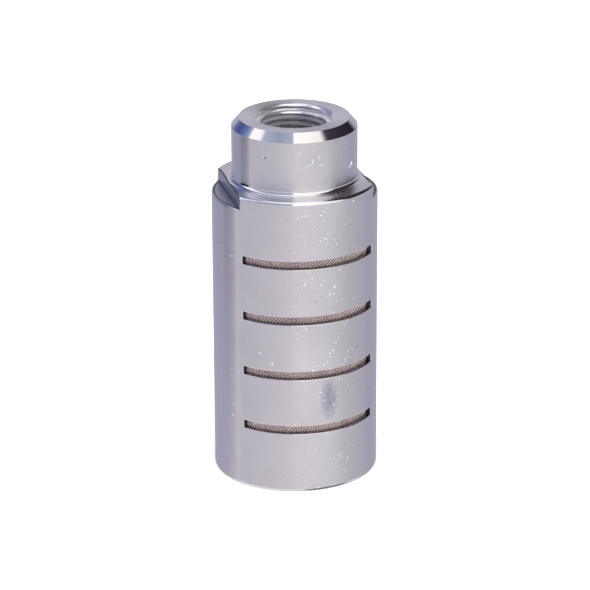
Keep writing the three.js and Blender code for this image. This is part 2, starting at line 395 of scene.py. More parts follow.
def flat_rows(angle):
    """Rows up a wrench flat: the crescent at its foot with a rounded lip, and the flat itself.

    Columns beside the flats have the same rows, pressed onto the wall.
    """
    limit = flat_radius(angle)
    milled = min(BODY_RADIUS, limit)
    floor = SHOULDER_Z - FLAT_HEIGHT
    cut = milled < BODY_RADIUS - 1e-9
    reach = BODY_RADIUS - milled
    # The strip just inside the crescent's lip and the strip at the inner corner take the dark machined zone:
    # painted shade.
    lip_zone, ledge_zone, corner_shade_zone = (POLISHED, MILLED, MACHINED_SHADE) if cut else (TURNED, TURNED, TURNED)
    lip = min(LIP_ROUND, reach / 3)
    corner = min(BURR_SHADE_LINE, reach / 3)
    line = min(1.5 * BURR_SHADE_LINE, reach / 3)
    rows = [(BODY_RADIUS, floor - LIP_ROUND - HOLD, TURNED)]
    for step in range(EDGE_STEPS + 1):
        turn = math.radians(90 * step / EDGE_STEPS)
        height = floor - LIP_ROUND * (1 - math.sin(turn))
        rows.append((BODY_RADIUS - lip * (1 - math.cos(turn)), height, lip_zone))
    rows[-1] = (*rows[-1][:2], corner_shade_zone)
    rows += [
        (BODY_RADIUS - max(lip, min(lip + line, reach)), floor, ledge_zone),
        (milled + corner, floor, corner_shade_zone),
        (milled, floor + (corner if cut else 0), ledge_zone),
        (milled, floor + 2 * corner + HOLD, ledge_zone),
    ]
    return rows


def shoulder_rows(angle):
    """Rows over the shoulder's rounding, the ledge and the fillet at the neck's foot."""
    limit = flat_radius(angle)
    foot = NECK_RADIUS + NECK_FOOT_FILLET
    rows = []
    for radius, z in shoulder_profile():
        if radius > limit + 1e-9:
            # A thin strip along the flat's top edge and onto the ledge takes the dark machined zone: painted
            # shade.
            rows.append((limit, z, MACHINED_SHADE if z > SHOULDER_Z - 1.2 * BURR_SHADE_LINE else MILLED))
        else:
            rows.append((radius, z, POLISHED))
    ledge = rows[-1][0]
    if limit < BODY_RADIUS - SHOULDER_ROUND:
        ledge = max(ledge - BURR_SHADE_LINE, foot + 0.02 * MM)
    rows.append((ledge, SHOULDER_Z, TURNED))
    rows += [(radius, z, POLISHED)
             for radius, z in arc(foot, SHOULDER_Z + NECK_FOOT_FILLET, NECK_FOOT_FILLET, 270, 180)]
    return rows


def neck_rows():
    """Rows up the neck, over its chamfer and across the port face."""
    chamfer_low = HEIGHT - NECK_CHAMFER_HEIGHT
    chamfer_in = NECK_RADIUS - NECK_CHAMFER_WIDTH
    return [
        (NECK_RADIUS, SHOULDER_Z + NECK_FOOT_FILLET + HOLD, TURNED),
        (NECK_RADIUS, chamfer_low - HOLD, TURNED),
        (NECK_RADIUS, chamfer_low, POLISHED),
        (chamfer_in, HEIGHT, TURNED),
        (COUNTERSINK_RADIUS + HOLD, HEIGHT, POLISHED),
    ]


def port_rows(turn_fraction):
    """Rows of the threaded port at one angle, from the countersink down to the ceiling.

    The rows follow the thread's helix, so that its crests and roots are true edges. Rows above the
    thread's top or below its end are clamped there and merge.
    """
    fractions = thread_fractions(THREAD_ROOT, THREAD_CREST)
    bottom = HEIGHT - THREAD_LENGTH
    turns = math.ceil((THREAD_TOP - bottom) / THREAD_PITCH) + 2
    rows = [(COUNTERSINK_RADIUS, HEIGHT - HOLD / 3, THREADED)]
    for turn in range(turns):
        for fraction, tooth in fractions:
            z = THREAD_TOP - (turn + fraction - (turn_fraction + THREAD_PHASE) % 1) * THREAD_PITCH
            z = min(max(z, bottom), THREAD_TOP)
            depth = HEIGHT - z
            crest = max(THREAD_MAJOR_RADIUS - THREAD_DEPTH - depth * THREAD_TAPER, PASSAGE_RADIUS)
            crest = max(crest, COUNTERSINK_RADIUS - depth)
            fade = min(1, (z - bottom) / THREAD_FADE)
            groove = crest + THREAD_DEPTH * (1 - tooth) * fade
            rows.append((max(crest, min(groove, COUNTERSINK_RADIUS - THREAD_RUNOUT)), z, THREADED))
    # The plain bore below the thread is in the dark machined zone: painted shade.
    rows += [
        (PASSAGE_RADIUS, bottom - HOLD, MACHINED_SHADE),
        (PASSAGE_RADIUS, CEILING_Z + HOLD, MACHINED_SHADE),
        (PASSAGE_RADIUS + HOLD, CEILING_Z, MACHINED_SHADE),
    ]
    return rows


def cavity_rows():
    """Rows of the inside, from the ceiling's edge down, and where each slot's opening starts."""
    # The inside is in the dark machined zone: painted shade.
    rows = [(CAVITY_RADIUS - HOLD, CEILING_Z, MACHINED_SHADE), (CAVITY_RADIUS, CEILING_Z - HOLD, MACHINED_SHADE)]
    openings = []
    for z in reversed(SLOT_HEIGHTS):
        openings.append(len(rows))
        rows.append((CAVITY_RADIUS, z + SLOT_HEIGHT / 2, MACHINED_SHADE))
        rows.append((CAVITY_RADIUS, z - SLOT_HEIGHT / 2, MACHINED_SHADE))
    return rows, openings


def housing_mesh():
    """The turned, slotted and milled body, as one closed grid of columns round the axis."""
    angles = housing_angles()
    angles.append(TURN)
    base = base_rows()
    _, slot_openings = slot_rows(0)
    cavity, cavity_openings = cavity_rows()
    columns = []
    for angle in angles:
        slots, _ = slot_rows(angle)
        outside = base + slots + flat_rows(angle) + shoulder_rows(angle) + neck_rows()
        columns.append(outside + port_rows(angle / TURN) + cavity)
    count = len(columns[0])
    outer_rows = [len(base) + row for row in slot_openings]
    inner_rows = [count - len(cavity) + row for row in reversed(cavity_openings)]
    cut_rows = set(outer_rows + inner_rows)
    points = []
    for angle, rows in zip(angles, columns):
        points += [on_circle(radius, angle, z) for radius, z, _ in rows]
    faces = []
    zones = []

    def vertex(column, row):
        return column * count + row % count

    def band(column, first, second):
        return (vertex(column, first), vertex(column + 1, first),
                vertex(column + 1, second), vertex(column, second))

    for column in range(len(angles) - 1):
        slotted = in_slot(angles[column]) and in_slot(angles[column + 1])
        for row in range(count):
            if slotted and row in cut_rows:
                continue
            faces.append(band(column, row, row + 1))
            zones.append(max(columns[column][row][2], columns[column + 1][row][2]))
        if slotted:
            # The slot floors take the darkened slot floor material: painted shade.
            for outer, inner in zip(outer_rows, inner_rows):
                faces.append(band(column, outer, inner + 1))
                faces.append(band(column, outer + 1, inner))
                zones += [SLOT_FLOOR, SLOT_FLOOR]
    # The slots' end walls take the dark machined zone: painted shade.
    for column in range(1, len(angles) - 1):
        before = in_slot(angles[column - 1]) and in_slot(angles[column])
        after = in_slot(angles[column]) and in_slot(angles[column + 1])
        if before != after:
            for outer, inner in zip(outer_rows, inner_rows):
                faces.append((vertex(column, outer), vertex(column, outer + 1),
                              vertex(column, inner), vertex(column, inner + 1)))
                zones.append(MACHINED_SHADE)
    return finished_mesh("housing_body", points, faces, zones)


# ---------------------------------------------------------------- outer screen

def add_wire(points, faces, path, width, across):
    """Adds a flattened wire along a path of (point, outward direction) pairs."""
    start = len(points)
    sides = WIRE_SIDES
    for centre, outward in path:
        for side in range(sides):
            turn = TURN * side / sides
            offset = outward * (math.cos(turn) * WIRE_THICKNESS / 2)
            points.append(centre + offset + across(outward) * (math.sin(turn) * width / 2))
    faces += ring_faces(start, len(path), sides)
    end = start + sides * (len(path) - 1)
    faces.append(tuple(start + side for side in reversed(range(sides))))
    faces.append(tuple(end + side for side in range(sides)))


def sideways(outward):
    return Vector((-outward.y, outward.x, 0))


def upwards(_):
    return Vector((0, 0, 1))


def weave_mesh():
    """Plain-weave wire cloth in a band behind every slot: each wire passes over one and under one."""
    points = []
    faces = []
    zones = []
    step = WIRE_PITCH / WEAVE_MIDDLE
    half_arc = SLOT_HALF_ARC + WEAVE_MARGIN / WEAVE_MIDDLE
    uprights = 2 * math.floor(half_arc / step) + 1
    rows = 2 * math.floor((SLOT_HEIGHT / 2 + WEAVE_MARGIN) / WIRE_PITCH) + 1
    wave = WIRE_THICKNESS / 2

    def crossing(facing, z, column, row, sign):
        angle = facing + (column - (uprights - 1) / 2) * step
        outward = Vector((math.cos(angle), math.sin(angle), 0))
        over = sign * wave * (1 if (column + row) % 2 else -1)
        height = z + (row - (rows - 1) / 2) * WIRE_PITCH
        return outward * (WEAVE_MIDDLE + over) + Vector((0, 0, height)), outward

    for facing in SLOT_FACINGS:
        for z in SLOT_HEIGHTS:
            for column in range(uprights):
                path = [crossing(facing, z, column, row, 1) for row in range(rows)]
                add_wire(points, faces, path, WARP_WIDTH, sideways)
            # Warps take the first material, painted light; wefts take the second, painted as shade.
            zones += [0] * (len(faces) - len(zones))
            for row in range(rows):
                path = [crossing(facing, z, column, row, -1) for column in range(uprights)]
                add_wire(points, faces, path, WEFT_WIDTH, upwards)
            zones += [1] * (len(faces) - len(zones))
    mesh = bpy.data.meshes.new("outer_screen_weave")
    mesh.from_pydata(points, [], faces)
    mesh.polygons.foreach_set("material_index", zones)
    for polygon in mesh.polygons:
        polygon.use_smooth = True
    return mesh


def sleeve_mesh(name, node, depth):
    """A screen sleeve's body: the CAD tube's full height, thin, and set in from its outside by depth."""
    thickness = 0.15 * MM
    edge_round = 0.05 * MM
    low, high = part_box(node)
    wall = high.x - depth
    return turned_mesh(name, rounded_ring(wall - thickness, wall, low.z, high.z, edge_round, 2), 192)


# ---------------------------------------------------------------- silencing stack and plug

def plug_rim_rows(turn_fraction, low, high):
    """Rows up the plug's threaded rim and over its top, at one angle. They follow the thread's helix."""
    rim = high.x
    thread_low = low.z + PLUG_CHAMFER
    thread_high = high.z - PLUG_CHAMFER
    root = rim - PLUG_ROOT_INSET
    tooth_height = PLUG_ROOT_INSET + PLUG_CREST_OUTSET
    turns = math.ceil((thread_high - thread_low) / PLUG_THREAD_PITCH) + 2
    rows = [(rim - PLUG_CHAMFER, low.z, FACED)]
    for turn in range(turns):
        for fraction, tooth in thread_fractions(PLUG_THREAD_FLAT, PLUG_THREAD_FLAT):
            z = thread_low + (turn + fraction - 1 + turn_fraction) * PLUG_THREAD_PITCH
            z = min(max(z, thread_low), thread_high)
            fade = min(1, (z - thread_low) / PLUG_THREAD_FADE, (thread_high - z) / PLUG_THREAD_FADE)
            rows.append((root + tooth_height * tooth * fade, z, BRIGHT))
    rows += [(rim - PLUG_CHAMFER, high.z, FACED), (0, high.z, FACED)]
    return rows


def add_spanner_hole(points, faces, zones, x, bottom):
    """Adds the bevel, wall and drilled tip of a blind hole at x, and returns the ring round its mouth."""
    profile = [
        (SPANNER_HOLE_RADIUS + SPANNER_HOLE_BEVEL, bottom),
        (SPANNER_HOLE_RADIUS, bottom + SPANNER_HOLE_BEVEL),
        (SPANNER_HOLE_RADIUS, bottom + SPANNER_HOLE_DEPTH),
        (0, bottom + SPANNER_HOLE_DEPTH + SPANNER_HOLE_TIP),
    ]
    start = len(points)
    for column in range(HOLE_COLUMNS):
        for radius, z in profile:
            across, along, _ = on_circle(radius, TURN * column / HOLE_COLUMNS, z)
            points.append((x + across, along, z))
    faces += grid_faces(start, HOLE_COLUMNS, len(profile))
    # The hole walls and tips take the dark machined material: painted shade.
    zones += [BRIGHT, HOLE_WALL, HOLE_WALL] * HOLE_COLUMNS
    return points[start::len(profile)]


def add_face_between(points, faces, zones, loops):
    """Fills the flat face inside the first loop and outside the others."""
    work = bmesh.new()
    for loop in loops:
        corners = [work.verts.new(point) for point in loop]
        for index, corner in enumerate(corners):
            work.edges.new((corner, corners[(index + 1) % len(corners)]))
    bmesh.ops.triangle_fill(work, edges=work.edges, use_beauty=True, use_dissolve=False, normal=(0, 0, -1))
    work.verts.index_update()
    start = len(points)
    points += [tuple(corner.co) for corner in work.verts]
    for face in work.faces:
        faces.append(tuple(start + corner.index for corner in face.verts))
        zones.append(FACED)
    work.free()


def end_plug_mesh():
    """The screwed plug: a threaded rim, a chamfered face with two blind spanner holes, a plain top."""
    low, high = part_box("end_plug")
    points = []
    faces = []
    zones = []
    grid = [plug_rim_rows(column / PLUG_COLUMNS, low, high) for column in range(PLUG_COLUMNS + 1)]
    count = len(grid[0])
    for column, rows in enumerate(grid):
        points += [on_circle(radius, TURN * column / PLUG_COLUMNS, z) for radius, z, _ in rows]
    for column in range(PLUG_COLUMNS):
        for row in range(count - 1):
            here = column * count + row
            faces.append((here, here + count, here + count + 1, here + 1))
            zones.append(grid[column][row][2])
    face_radius = high.x - PLUG_CHAMFER
    loops = [[on_circle(face_radius, TURN * column / PLUG_COLUMNS, low.z) for column in range(PLUG_COLUMNS)]]
    for x in (-SPANNER_HOLE_OFFSET, SPANNER_HOLE_OFFSET):
        loops.append(add_spanner_hole(points, faces, zones, x, low.z))
    add_face_between(points, faces, zones, loops)
    return finished_mesh("end_plug_turned", points, faces, zones, merge=1e-6)


def wave_spring_mesh():
    """A rolled flat ring pressed into three waves."""
    low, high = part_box("wave_spring")
    inner = 12.2 * MM
    thickness = 0.4 * MM
    edge_round = 0.12 * MM
    waves = 3
    wave = (high.z - low.z - thickness) / 2
    middle = (low.z + high.z - thickness) / 2

    def pressed(radius, angle, z):
        return radius, z + wave * math.sin(waves * angle)

    outline = rounded_ring(inner, high.x, middle, middle + thickness, edge_round)
    return turned_mesh("wave_spring_ring", outline, 144, pressed)


def end_cap_mesh():
    """A drawn cup: rounded outside corner, and a socket that the tube sits in."""
    low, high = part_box("diffuser_end_cap")
    corner = 0.5 * MM
    socket = 9.6 * MM
    floor = 1.0 * MM
    lip = 0.15 * MM
    outline = [(0, low.z)]
    outline += arc(high.x - corner, low.z + corner, corner, 270, 360)
    outline += arc(high.x - lip, high.z - lip, lip, 0, 90, 3)
    outline += arc(socket + lip, high.z - lip, lip, 90, 180, 3)
    outline += arc(socket - corner, low.z + floor + corner, corner, 0, -90)
    outline.append((0, low.z + floor))
    return turned_mesh("diffuser_end_cap_cup", outline)


def tile_ring(segments_across, segments_up):
    """Points round a square's border from corner to corner, as (u, v) from -1 to 1."""
    ring = [(2 * step / segments_across - 1, -1) for step in range(segments_across)]
    ring += [(1, 2 * step / segments_up - 1) for step in range(segments_up)]
    ring += [(1 - 2 * step / segments_across, 1) for step in range(segments_across)]
    ring += [(-1, 1 - 2 * step / segments_up) for step in range(segments_up)]
    return ring


def add_tube_tile(points, faces, angle, z):
    """Adds one patch of the tube's wall, outside and bore, with a round hole through its middle."""
    half_angle = TURN / TUBE_HOLES_PER_ROW / 2
    border = tile_ring(8, 4)
    size = len(border)
    holes = []
    for radius in (TUBE_RADIUS, TUBE_BORE):
        start = len(points)
        for ring in range(TILE_RINGS + 1):
            blend = ring / TILE_RINGS
            for u, v in border:
                turn = math.atan2(v, u)
                hole_angle = math.asin(TUBE_HOLE_RADIUS * math.cos(turn) / radius)
                hole_z = TUBE_HOLE_RADIUS * math.sin(turn)
                point_angle = angle + u * half_angle * (1 - blend) + hole_angle * blend
                point_z = z + v * TUBE_ROW_PITCH / 2 * (1 - blend) + hole_z * blend
                points.append(on_circle(radius, point_angle, point_z))
        faces += ring_faces(start, TILE_RINGS + 1, size)
        holes.append(start + TILE_RINGS * size)
    for index in range(size):
        other = (index + 1) % size
        faces.append((holes[0] + index, holes[0] + other, holes[1] + other, holes[1] + index))


def diffuser_tube_mesh():
    """The flanged tube, with staggered rows of round holes drilled through its wall."""
    low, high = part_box("diffuser_tube")
    points = []
    faces = []
    for row in range(TUBE_HOLE_ROWS):
        z = SLOT_FIRST_Z + (row - 0.5) * TUBE_ROW_PITCH
        for hole in range(TUBE_HOLES_PER_ROW):
            add_tube_tile(points, faces, (hole + row % 2 / 2) * TURN / TUBE_HOLES_PER_ROW, z)
    tiles_low = SLOT_FIRST_Z - TUBE_ROW_PITCH
    tiles_high = tiles_low + TUBE_HOLE_ROWS * TUBE_ROW_PITCH
    flange_low = high.z - TUBE_FLANGE
    top = [(TUBE_RADIUS, tiles_high), (TUBE_RADIUS, flange_low), (high.x, flange_low),
           (high.x, high.z), (TUBE_BORE, high.z), (TUBE_BORE, tiles_high)]
    bottom = [(TUBE_BORE, tiles_low), (TUBE_BORE, low.z), (TUBE_RADIUS, low.z), (TUBE_RADIUS, tiles_low)]
    columns = 8 * TUBE_HOLES_PER_ROW
    for outline in (top, bottom):
        start = len(points)
        for column in range(columns):
            angle = TURN * (column / columns - 0.5 / TUBE_HOLES_PER_ROW)
            points += [on_circle(radius, angle, z) for radius, z in outline]
        faces += grid_faces(start, columns, len(outline))
    return finished_mesh("diffuser_tube_perforated", points, faces, merge=1e-6)


def packing_ring_mesh(name, low, high):
    """A ring of knitted wire pressed to shape: rows of loops with dents and loose places."""
    corner = 0.8 * MM
    row_spacing = 0.55 * MM
    loops_round = 56
    loops_up = 6
    loop_depth = 0.16 * MM
    dent = 0.22 * MM
    dent_size = 1.4 * MM
    middle_radius = (STACK_BORE + high.x) / 2
    middle_z = (low.z + high.z) / 2
    seed = Vector((low.z * 900, 3.1, 7.7))
    outline = rounded_ring(STACK_BORE, high.x, low.z, high.z, corner, 3)
    dense = []
    for index, (radius, z) in enumerate(outline):
        next_radius, next_z = outline[(index + 1) % len(outline)]
        steps = max(1, round(math.hypot(next_radius - radius, next_z - z) / row_spacing))
        for step in range(steps):
            blend = step / steps
            dense.append((radius + (next_radius - radius) * blend, z + (next_z - z) * blend))

    def knitted(radius, angle, z):
        x, y, _ = on_circle(radius, angle, 0)
        rough = noise.noise(Vector((x, y, z)) / dent_size + seed)
        row = (z - low.z) / (high.z - low.z) * loops_up
        loop = math.cos(angle * loops_round + math.pi * math.floor(row)) * math.sin(row * TURN)
        press = -abs(loop_depth * loop) - dent * (0.5 + 0.5 * rough)
        side = Vector((radius - middle_radius, z - middle_z)).normalized()
        return radius + side.x * press, z + side.y * press

    return turned_mesh(name, dense, 2 * loops_round, knitted)


# ---------------------------------------------------------------- materials

class Tree:
    """Short calls for building a node tree."""

    def __init__(self, tree):
        self.tree = tree

    def add(self, kind, links=None, **values):
        node = self.tree.nodes.new(kind)
        for key, value in values.items():
            setattr(node, key, value)
        for socket, source in (links or {}).items():
            self.put(node.inputs[socket], source)
        return node

    def put(self, socket, source):
        if hasattr(source, "is_output"):
            self.tree.links.new(source, socket)
        else:
            socket.default_value = source

    def math(self, operation, *sources):
        node = self.add("ShaderNodeMath", operation=operation)
        for socket, source in zip(node.inputs, sources):
            self.put(socket, source)
        return node.outputs[0]

    def times(self, first, second):
        return self.math("MULTIPLY", first, second)

    def plus(self, first, second):
        return self.math("ADD", first, second)

    def split(self, vector):
        return self.add("ShaderNodeSeparateXYZ", {"Vector": vector}).outputs

    def mix(self, factor, first, second):
        node = self.add("ShaderNodeMix", {"Factor": factor, 6: first, 7: second}, data_type="RGBA")
        return node.outputs[2]


class Nodes(Tree):
    """One material's node tree."""

    def __init__(self, name):
        self.material = bpy.data.materials.new(name)
        self.material.use_nodes = True
        super().__init__(self.material.node_tree)
        self.shader = self.tree.nodes["Principled BSDF"]

    def ramp(self, factor, low, high, low_value=0.0, high_value=1.0):
        links = {"Value": factor, "From Min": low, "From Max": high}
        links |= {"To Min": low_value, "To Max": high_value}
        return self.add("ShaderNodeMapRange", links, clamp=True).outputs["Result"]

    def tint(self, first, second, factor, low, high, amount=1.0):
        """Turns first into second, by up to amount, as factor rises from low to high."""
        return self.mix(self.ramp(factor, low, high, 0.0, amount), first, second)

    def point(self, scale=(1, 1, 1)):
        """The point on the piece, in millimetres, stretched by scale."""
        coordinates = self.add("ShaderNodeTexCoord").outputs["Object"]
        links = {"Vector": coordinates, "Scale": [value / MM for value in scale]}
        return self.add("ShaderNodeMapping", links).outputs["Vector"]

    def around_axis(self):
        """The point's angle, its distance from the axis and its height."""
        x, y, z = self.split(self.point())
        radius = self.math("SQRT", self.plus(self.times(x, x), self.times(y, y)))
        return self.math("ARCTAN2", y, x), radius, z

    def noise(self, vector, scale, detail=3.0, roughness=0.5):
        links = {"Vector": vector, "Scale": scale, "Detail": detail, "Roughness": roughness}
        return self.add("ShaderNodeTexNoise", links).outputs["Fac"]

    def bump(self, height, strength, distance=MARK_DEPTH):
        links = {"Height": height, "Strength": strength, "Distance": distance}
        return self.add("ShaderNodeBump", links).outputs["Normal"]

    def turned_tangent(self):
        return self.add("ShaderNodeTangent", direction_type="RADIAL", axis="Z").outputs["Tangent"]

    def shade(self, **values):
        """Sets the shader's inputs and returns the finished material."""
        for key, value in values.items():
            self.put(self.shader.inputs[key.replace("_", " ")], value)
        return self.material


def spots(nodes, point, scale, chance, size):
    """Small round spots scattered over a surface: 1 in a spot, 0 elsewhere."""
    cells = nodes.add("ShaderNodeTexVoronoi", {"Vector": point, "Scale": scale})
    pick = nodes.add("ShaderNodeSeparateColor", {"Color": cells.outputs["Color"]}).outputs[0]
    chosen = nodes.math("GREATER_THAN", pick, 1 - chance)
    return nodes.times(nodes.ramp(cells.outputs["Distance"], size, size * 0.5), chosen)


def mark(nodes, point, place, size):
    """One small mark at a place in millimetres: 1 on the mark, 0 elsewhere."""
    distance = nodes.add("ShaderNodeVectorMath", {0: point, 1: place}, operation="DISTANCE")
    return nodes.ramp(distance.outputs["Value"], size, size * 0.6)


def turned_aluminium():
    """Satin turned wall: tool rings, cloudy handling marks, nicks painted as white glints, small pits painted
    dark as shade, and one rubbed patch.
    """
    nodes = Nodes("turned_aluminium")
    point = nodes.point()
    x, y, z = nodes.split(point)
    cloud = nodes.noise(point, 0.13, 4.0, 0.6)
    mottle = nodes.noise(point, 1.1, 3.0, 0.65)
    fine = nodes.noise(point, 3.4, 2.0, 0.6)
    rings = nodes.noise(nodes.point((0.02, 0.02, 1)), 6.0, 2.0, 0.7)
    tone = nodes.tint((0.76, 0.735, 0.755, 1), (0.815, 0.80, 0.83, 1), cloud, 0.3, 0.7)
    tone = nodes.tint(tone, (0.70, 0.69, 0.75, 1), mottle, 0.3, 0.7, 0.3)
    tone = nodes.tint(tone, (0.92, 0.90, 0.92, 1), fine, 0.3, 0.75, 0.28)

    # The rubbed patch is on the front, a little above the lowest slot.
    across = nodes.times(nodes.math("SUBTRACT", x, PATCH_PLACE[0]), 1 / PATCH_REACH[0])
    along = nodes.times(nodes.math("SUBTRACT", z, PATCH_PLACE[1]), 1 / PATCH_REACH[1])
    reach = nodes.plus(nodes.times(across, across), nodes.times(along, along))
    reach = nodes.plus(reach, nodes.ramp(mottle, 0.2, 0.8, -0.5, 0.5))
    front = nodes.math("LESS_THAN", y, 0.0)
    patch = nodes.times(nodes.ramp(reach, 1.25, -0.15, 0.0, 0.9), front)
    tone = nodes.mix(patch, tone, (0.42, 0.41, 0.52, 1))

    # Nicks, painted as white non-metallic glints, are thin everywhere and gather on the front, right of its
    # middle.
    gathering = nodes.ramp(nodes.noise(point, 0.22, 2.0, 0.5), 0.46, 0.58)
    band = nodes.times(nodes.ramp(x, -7.0, -1.0), nodes.ramp(x, 12.0, 7.0))
    gathering = nodes.times(nodes.times(gathering, band), front)
    gathering = nodes.math("MAXIMUM", gathering, patch)
    dense = nodes.times(spots(nodes, point, scale=1.35, chance=0.42, size=0.26), gathering)
    sparse = spots(nodes, nodes.point((1, 1, 0.8)), scale=0.42, chance=0.22, size=0.085)
    nick_glint = nodes.math("MAXIMUM", dense, sparse)
    for place, size in GLINTING_DENTS:
        nick_glint = nodes.math("MAXIMUM", nick_glint, mark(nodes, point, place, size))
    # Painted shade: small pits, and one on the neck, are coloured dark as well as dented.
    dark = spots(nodes, nodes.point((0.9, 0.9, 1.1)), scale=0.3, chance=0.16, size=0.07)
    dark = nodes.math("MAXIMUM", dark, mark(nodes, point, *DARK_PIT))
    tone = nodes.mix(dark, tone, (0.16, 0.15, 0.2, 1))
    # Painted highlights: the nicks' glints are white, non-metallic colour.
    tone = nodes.mix(nick_glint, tone, (0.97, 0.97, 1.0, 1))

    height = nodes.plus(nodes.times(rings, 0.5), nodes.times(mottle, 0.5))
    height = nodes.math("SUBTRACT", height, nodes.times(dark, 0.8))
    return nodes.shade(Base_Color=tone, Metallic=nodes.math("SUBTRACT", 1.0, nick_glint),
                       Roughness=nodes.ramp(cloud, 0.25, 0.75, 0.24, 0.34), Anisotropic=0.85,
                       Anisotropic_Rotation=ACROSS_RINGS, Normal=nodes.bump(height, 0.16),
                       Tangent=nodes.turned_tangent())


def polished_aluminium():
    """Bright tool-finished edges, chamfers and thread: nearly a mirror, with fine rings."""
    nodes = Nodes("polished_aluminium")
    point = nodes.point()
    cloud = nodes.noise(point, 0.5, 3.0, 0.6)
    rings = nodes.noise(nodes.point((0.03, 0.03, 1)), 9.0, 2.0, 0.8)
    tone = nodes.tint((0.83, 0.82, 0.84, 1), (0.9, 0.89, 0.91, 1), cloud, 0.3, 0.7)
    tone = nodes.tint(tone, (0.66, 0.67, 0.74, 1), rings, 0.35, 0.7, 0.35)
    return nodes.shade(Base_Color=tone, Metallic=1.0,
                       Roughness=nodes.ramp(cloud, 0.25, 0.75, 0.07, 0.13), Anisotropic=0.5,
                       Anisotropic_Rotation=ACROSS_RINGS, Normal=nodes.bump(rings, 0.1),
                       Tangent=nodes.turned_tangent())


def threaded_aluminium():
    """Tapped bore and its countersink: bright cut metal, dulled by cutting marks in the grooves."""
    nodes = Nodes("threaded_aluminium")
    point = nodes.point()
    cloud = nodes.noise(point, 0.35, 3.0, 0.6)
    marks = nodes.noise(nodes.point((0.4, 0.4, 1)), 4.0, 3.0, 0.7)
    tone = nodes.tint((0.78, 0.77, 0.82, 1), (0.88, 0.87, 0.90, 1), cloud, 0.35, 0.65)
    tone = nodes.tint(tone, (0.52, 0.50, 0.56, 1), marks, 0.5, 0.75, 0.6)
    return nodes.shade(Base_Color=tone, Metallic=0.86,
                       Roughness=nodes.ramp(marks, 0.25, 0.75, 0.12, 0.22),
                       Normal=nodes.bump(marks, 0.12))


def shaded_slot_floor_aluminium():
    """Sawn slot walls: smooth, painted dark as shade, and mirroring the wire cloth behind them."""
    nodes = Nodes("shaded_slot_floor_aluminium")
    marks = nodes.noise(nodes.point((0.3, 0.3, 1)), 4.0, 2.0, 0.6)
    # Painted shade: a dark tone, varied by marks.
    tone = nodes.tint((0.20, 0.18, 0.19, 1), (0.40, 0.37, 0.37, 1), marks, 0.35, 0.7)
    return nodes.shade(Base_Color=tone, Metallic=1.0, Roughness=nodes.ramp(marks, 0.25, 0.75, 0.1, 0.2),
                       Normal=nodes.bump(marks, 0.1))


def milled_aluminium():
    """Wrench flats: slanting cutter marks and a greyer tone."""
    nodes = Nodes("milled_aluminium")
    links = {"Vector": nodes.point((1, 1, 0.55)), "Scale": 1.25, "Distortion": 3.5}
    links |= {"Detail": 2.0, "Detail Scale": 2.0}
    wave = nodes.add("ShaderNodeTexWave", links, wave_type="BANDS", bands_direction="DIAGONAL")
    marks = wave.outputs["Fac"]
    grain = nodes.noise(nodes.point(), 3.0, 3.0, 0.7)
    tone = nodes.tint((0.40, 0.40, 0.48, 1), (0.62, 0.62, 0.73, 1), marks, 0.2, 0.8)
    tone = nodes.tint(tone, (0.42, 0.42, 0.54, 1), grain, 0.35, 0.7, 0.5)
    return nodes.shade(Base_Color=tone, Metallic=1.0, Roughness=nodes.ramp(grain, 0.2, 0.8, 0.28, 0.42),
                       Normal=nodes.bump(marks, 0.25))


def shaded_machined_aluminium():
    """Slot walls, burr lines and the bore: matt, and painted nearly black as shade."""
    nodes = Nodes("shaded_machined_aluminium")
    shade_cloud = nodes.noise(nodes.point(), 0.9, 4.0, 0.65)
    marks = nodes.noise(nodes.point((0.2, 0.2, 1)), 5.0, 2.0, 0.7)
    # Painted shade: blotches from nearly black to dark grey.
    tone = nodes.tint((0.035, 0.03, 0.04, 1), (0.20, 0.18, 0.20, 1), shade_cloud, 0.35, 0.68)
    tone = nodes.tint(tone, (0.34, 0.31, 0.33, 1), marks, 0.5, 0.8, 0.3)
    return nodes.shade(Base_Color=tone, Metallic=0.85, Roughness=nodes.ramp(shade_cloud, 0.2, 0.8, 0.32, 0.5),
                       Normal=nodes.bump(marks, 0.2))


def faced_aluminium():
    """The plug's face: concentric marks of a facing cut that fade towards the rim."""
    nodes = Nodes("faced_aluminium")
    links = {"Vector": nodes.point(), "Scale": 1.2, "Distortion": 0.6, "Detail": 2.0}
    wave = nodes.add("ShaderNodeTexWave", links, wave_type="RINGS", rings_direction="Z")
    rings = wave.outputs["Fac"]
    cloud = nodes.noise(nodes.point(), 0.2, 4.0, 0.6)
    tone = nodes.tint((0.60, 0.61, 0.65, 1), (0.74, 0.745, 0.775, 1), cloud, 0.3, 0.7)
    tone = nodes.tint(tone, (0.86, 0.86, 0.88, 1), rings, 0.4, 1.0, 0.25)
    return nodes.shade(Base_Color=tone, Metallic=1.0,
                       Roughness=nodes.ramp(cloud, 0.25, 0.75, 0.24, 0.36), Anisotropic=0.7,
                       Anisotropic_Rotation=ACROSS_RINGS, Normal=nodes.bump(rings, 0.3),
                       Tangent=nodes.turned_tangent())


def wire_metal(name, base, dark, roughness, metallic=1.0):
    """Drawn wire with a warm tarnish that changes from place to place."""
    nodes = Nodes(name)
    point = nodes.point()
    tarnish = nodes.noise(point, 0.22, 3.0, 0.6)
    grain = nodes.noise(point, 2.4, 2.0, 0.6)
    tone = nodes.tint(dark, base, tarnish, 0.35, 0.65)
    tone = nodes.tint(tone, dark, grain, 0.35, 0.7, 0.45)
    return nodes.shade(Base_Color=tone, Metallic=metallic,
                       Roughness=nodes.ramp(grain, 0.2, 0.8, roughness, roughness + 0.15))


